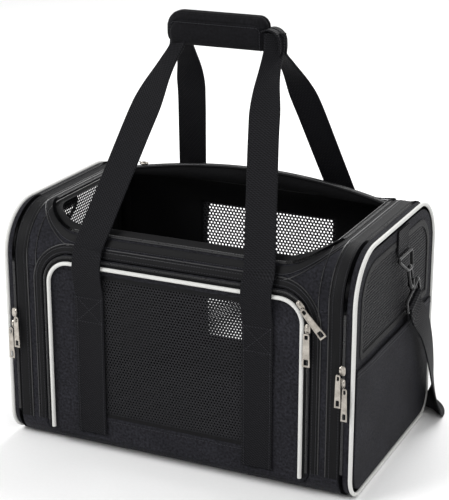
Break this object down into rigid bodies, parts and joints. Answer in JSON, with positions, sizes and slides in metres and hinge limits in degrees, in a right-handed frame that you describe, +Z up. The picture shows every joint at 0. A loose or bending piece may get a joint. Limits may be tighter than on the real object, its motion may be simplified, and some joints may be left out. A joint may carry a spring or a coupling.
{
  "type": "pet transport carrier",
  "caption": "Soft-sided pet carrier with zipped mesh doors on the front and both ends, an open top, webbing handles joined in a padded grip, and a hooked shoulder strap.",
  "frame": {"origin": "on the floor, at the middle of the body's underside", "axes": "+Z up; +X along the length towards the right end seen from the front; -Y out of the front door"},
  "size_m": [0.4978, 0.348, 0.523],
  "materials": {
    "polyester": "foam-backed woven polyester, matt",
    "lining": "plain woven polyester, matt",
    "grip_fabric": "padded woven polyester with a stitched border",
    "webbing": "ribbed polyester webbing",
    "net": "open polyester mesh",
    "piping": "white woven piping cord",
    "nylon_zip": "nylon coil zip",
    "nickel": "nickel-plated zinc",
    "coated_metal": "black electro-coated steel, semi-gloss",
    "fleece": "short-pile fleece",
    "fibreboard": "pressed fibreboard"
  },
  "bodies": {
    "root": {"floor_panel": "polyester", "front_surround": "polyester", "rear_shoulder": "polyester", "rear_wall": "polyester", "rear_mesh": "net", "base_board": "fibreboard", "pet_mat": "fleece", "rear_left_sewn_strap": "webbing", "rear_right_sewn_strap": "webbing", "strap_floor_run": "webbing", "strap_adjuster": "coated_metal"},
    "top_flap": {"top_flap_roll": "net", "top_flap_zip_pull": "nickel"},
    "front_door": {"front_door_panel": "polyester", "front_door_mesh": "net", "front_door_piping": "piping", "front_door_zip": "nylon_zip", "front_left_sewn_strap": "webbing", "front_right_sewn_strap": "webbing"},
    "front_handle": {"front_left_handle_leg": "webbing", "front_right_handle_leg": "webbing", "front_grip_pad": "grip_fabric"},
    "rear_handle": {"rear_left_handle_leg": "webbing", "rear_right_handle_leg": "webbing", "rear_grip_pad": "grip_fabric"},
    "front_corner_slider": {"front_corner_zip_slider": "nickel"},
    "front_corner_pull": {"front_corner_zip_pull": "nickel"},
    "front_side_slider": {"front_side_zip_slider": "nickel"},
    "front_side_pull": {"front_side_zip_pull": "nickel"},
    "right_door": {"right_door_panel": "polyester", "right_door_mesh": "net", "right_door_pocket": "lining", "right_door_piping": "piping", "right_door_zip": "nylon_zip", "right_ring_tab": "webbing", "right_strap_drop": "webbing"},
    "right_ring": {"right_d_ring": "coated_metal"},
    "right_hook": {"right_snap_hook": "coated_metal"},
    "right_gate": {"right_hook_gate": "coated_metal"},
    "right_loop": {"right_strap_loop": "coated_metal"},
    "right_lower_slider": {"right_lower_zip_slider": "nickel"},
    "right_lower_pull": {"right_lower_zip_pull": "nickel"},
    "right_upper_slider": {"right_upper_zip_slider": "nickel"},
    "right_upper_pull": {"right_upper_zip_pull": "nickel"},
    "left_door": {"left_door_panel": "polyester", "left_door_mesh": "net", "left_door_pocket": "lining", "left_door_piping": "piping", "left_door_zip": "nylon_zip", "left_ring_tab": "webbing", "left_strap_drop": "webbing"},
    "left_ring": {"left_d_ring": "coated_metal"},
    "left_hook": {"left_snap_hook": "coated_metal"},
    "left_gate": {"left_hook_gate": "coated_metal"},
    "left_loop": {"left_strap_loop": "coated_metal"},
    "left_lower_slider": {"left_lower_zip_slider": "nickel"},
    "left_lower_pull": {"left_lower_zip_pull": "nickel"},
    "left_upper_slider": {"left_upper_zip_slider": "nickel"},
    "left_upper_pull": {"left_upper_zip_pull": "nickel"}
  },
  "joints": [
    {"name": "front_door_hinge", "type": "hinge", "parent": "root", "child": "front_door", "pos_m": [0, -0.14, 0.0158], "axis": [1, 0, 0], "range_deg": [0, 90]},
    {"name": "front_handle_swing", "type": "hinge", "parent": "front_door", "child": "front_handle", "pos_m": [0, -0.1425, 0.205], "axis": [-1, 0, 0], "range_deg": [-150, 0]},
    {"name": "rear_handle_swing", "type": "hinge", "parent": "root", "child": "rear_handle", "pos_m": [0, 0.1425, 0.205], "axis": [1, 0, 0], "range_deg": [-150, 0]},
    {"name": "top_flap_flop", "type": "hinge", "parent": "root", "child": "top_flap", "pos_m": [0, 0.106, 0.2868], "axis": [1, 0, 0], "range_deg": [0, 80]},
    {"name": "front_corner_slider_travel", "type": "hinge", "parent": "front_door", "child": "front_corner_slider", "pos_m": [0.1345, -0.14, 0.2105], "axis": [0, -1, 0], "range_deg": [0, 48]},
    {"name": "front_corner_pull_swing", "type": "hinge", "parent": "front_corner_slider", "child": "front_corner_pull", "pos_m": [0.16332, -0.1472, 0.23006], "axis": [0.7431, 0, 0.6691], "range_deg": [-150, 0]},
    {"name": "front_side_slider_travel", "type": "slide", "parent": "front_door", "child": "front_side_slider", "axis": [0, 0, 1], "range_m": [-0.165, 0]},
    {"name": "front_side_pull_swing", "type": "hinge", "parent": "front_side_slider", "child": "front_side_pull", "pos_m": [0.169, -0.1472, 0.20225], "axis": [1, 0, 0], "range_deg": [-150, 0]},
    {"name": "right_door_hinge", "type": "hinge", "parent": "root", "child": "right_door", "pos_m": [0.2092, 0.14, 0], "axis": [0, 0, 1], "range_deg": [0, 70]},
    {"name": "right_ring_swing", "type": "hinge", "parent": "right_door", "child": "right_ring", "pos_m": [0.2268, 0.014, 0.253], "axis": [0, -1, 0], "range_deg": [0, 30]},
    {"name": "right_hook_swing", "type": "hinge", "parent": "right_ring", "child": "right_hook", "pos_m": [0.2315, 0.019, 0.2348], "axis": [0, -1, 0], "range_deg": [0, 30]},
    {"name": "right_gate_press", "type": "hinge", "parent": "right_hook", "child": "right_gate", "pos_m": [0.2365, 0.02685, 0.21717], "axis": [0, -1, 0], "range_deg": [0, 14], "stiffness_Nm_per_rad": 0.02},
    {"name": "right_loop_swivel", "type": "hinge", "parent": "right_hook", "child": "right_loop", "pos_m": [0.2315, 0.03275, 0.20392], "axis": [0, 0.4067, -0.9135], "range_deg": [-8, 8]},
    {"name": "right_lower_slider_travel", "type": "slide", "parent": "right_door", "child": "right_lower_slider", "axis": [0, 0, 1], "range_m": [-0.11, 0]},
    {"name": "right_lower_pull_swing", "type": "hinge", "parent": "right_lower_slider", "child": "right_lower_pull", "pos_m": [0.2153, -0.1472, 0.14525], "axis": [1, 0, 0], "range_deg": [-150, 0]},
    {"name": "right_upper_slider_travel", "type": "slide", "parent": "right_door", "child": "right_upper_slider", "axis": [0, 0, 1], "range_m": [0, 0.062]},
    {"name": "right_upper_pull_swing", "type": "hinge", "parent": "right_upper_slider", "child": "right_upper_pull", "pos_m": [0.2073, -0.1472, 0.16025], "axis": [1, 0, 0], "range_deg": [-150, 0]},
    {"name": "left_door_hinge", "type": "hinge", "parent": "root", "child": "left_door", "pos_m": [-0.2092, 0.14, 0], "axis": [0, 0, -1], "range_deg": [0, 70]},
    {"name": "left_ring_swing", "type": "hinge", "parent": "left_door", "child": "left_ring", "pos_m": [-0.2268, 0.014, 0.253], "axis": [0, 1, 0], "range_deg": [0, 30]},
    {"name": "left_hook_swing", "type": "hinge", "parent": "left_ring", "child": "left_hook", "pos_m": [-0.2315, 0.019, 0.2348], "axis": [0, 1, 0], "range_deg": [0, 30]},
    {"name": "left_gate_press", "type": "hinge", "parent": "left_hook", "child": "left_gate", "pos_m": [-0.2365, 0.02685, 0.21717], "axis": [0, 1, 0], "range_deg": [0, 14], "stiffness_Nm_per_rad": 0.02},
    {"name": "left_loop_swivel", "type": "hinge", "parent": "left_hook", "child": "left_loop", "pos_m": [-0.2315, 0.03275, 0.20392], "axis": [0, 0.4067, -0.9135], "range_deg": [-8, 8]},
    {"name": "left_lower_slider_travel", "type": "slide", "parent": "left_door", "child": "left_lower_slider", "axis": [0, 0, 1], "range_m": [-0.11, 0]},
    {"name": "left_lower_pull_swing", "type": "hinge", "parent": "left_lower_slider", "child": "left_lower_pull", "pos_m": [-0.2153, -0.1472, 0.14525], "axis": [1, 0, 0], "range_deg": [-150, 0]},
    {"name": "left_upper_slider_travel", "type": "slide", "parent": "left_door", "child": "left_upper_slider", "axis": [0, 0, 1], "range_m": [0, 0.062]},
    {"name": "left_upper_pull_swing", "type": "hinge", "parent": "left_upper_slider", "child": "left_upper_pull", "pos_m": [-0.2073, -0.1472, 0.16025], "axis": [1, 0, 0], "range_deg": [-150, 0]}
  ]
}
